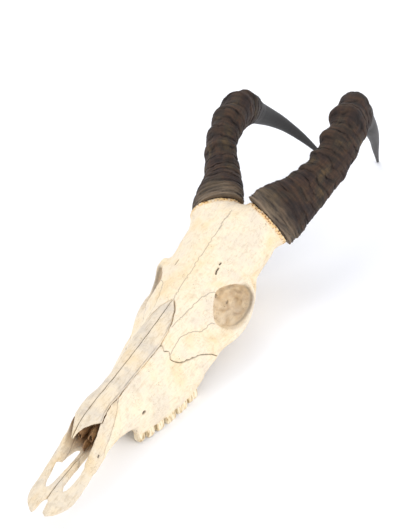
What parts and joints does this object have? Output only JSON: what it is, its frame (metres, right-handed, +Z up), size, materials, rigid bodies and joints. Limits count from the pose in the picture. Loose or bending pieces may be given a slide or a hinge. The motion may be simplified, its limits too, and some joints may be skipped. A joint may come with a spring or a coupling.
{
  "type": "hartebeest skull",
  "caption": "Still, life-size hartebeest skull without its lower jaw, with ringed, sharply bent horns and upper cheek teeth, resting on its tooth rows and horn tips.",
  "frame": {"origin": "on the floor under the middle of the skull's box, in its middle plane", "axes": "+Y from the snout to the horn tips, +Z up, +X to the animal's left"},
  "size_m": [0.1984, 0.7723, 0.1764],
  "materials": {
    "bone": "dry, chalky ivory bone",
    "horn": "dark brown, fibrous, half-matt horn"
  },
  "bodies": {
    "root": {"cranium": "bone", "maxilla_left": "bone", "maxilla_right": "bone", "premaxilla_left": "bone", "premaxilla_right": "bone", "nasal_left": "bone", "nasal_right": "bone", "horn_left": "horn", "horn_right": "horn"}
  },
  "joints": []
}
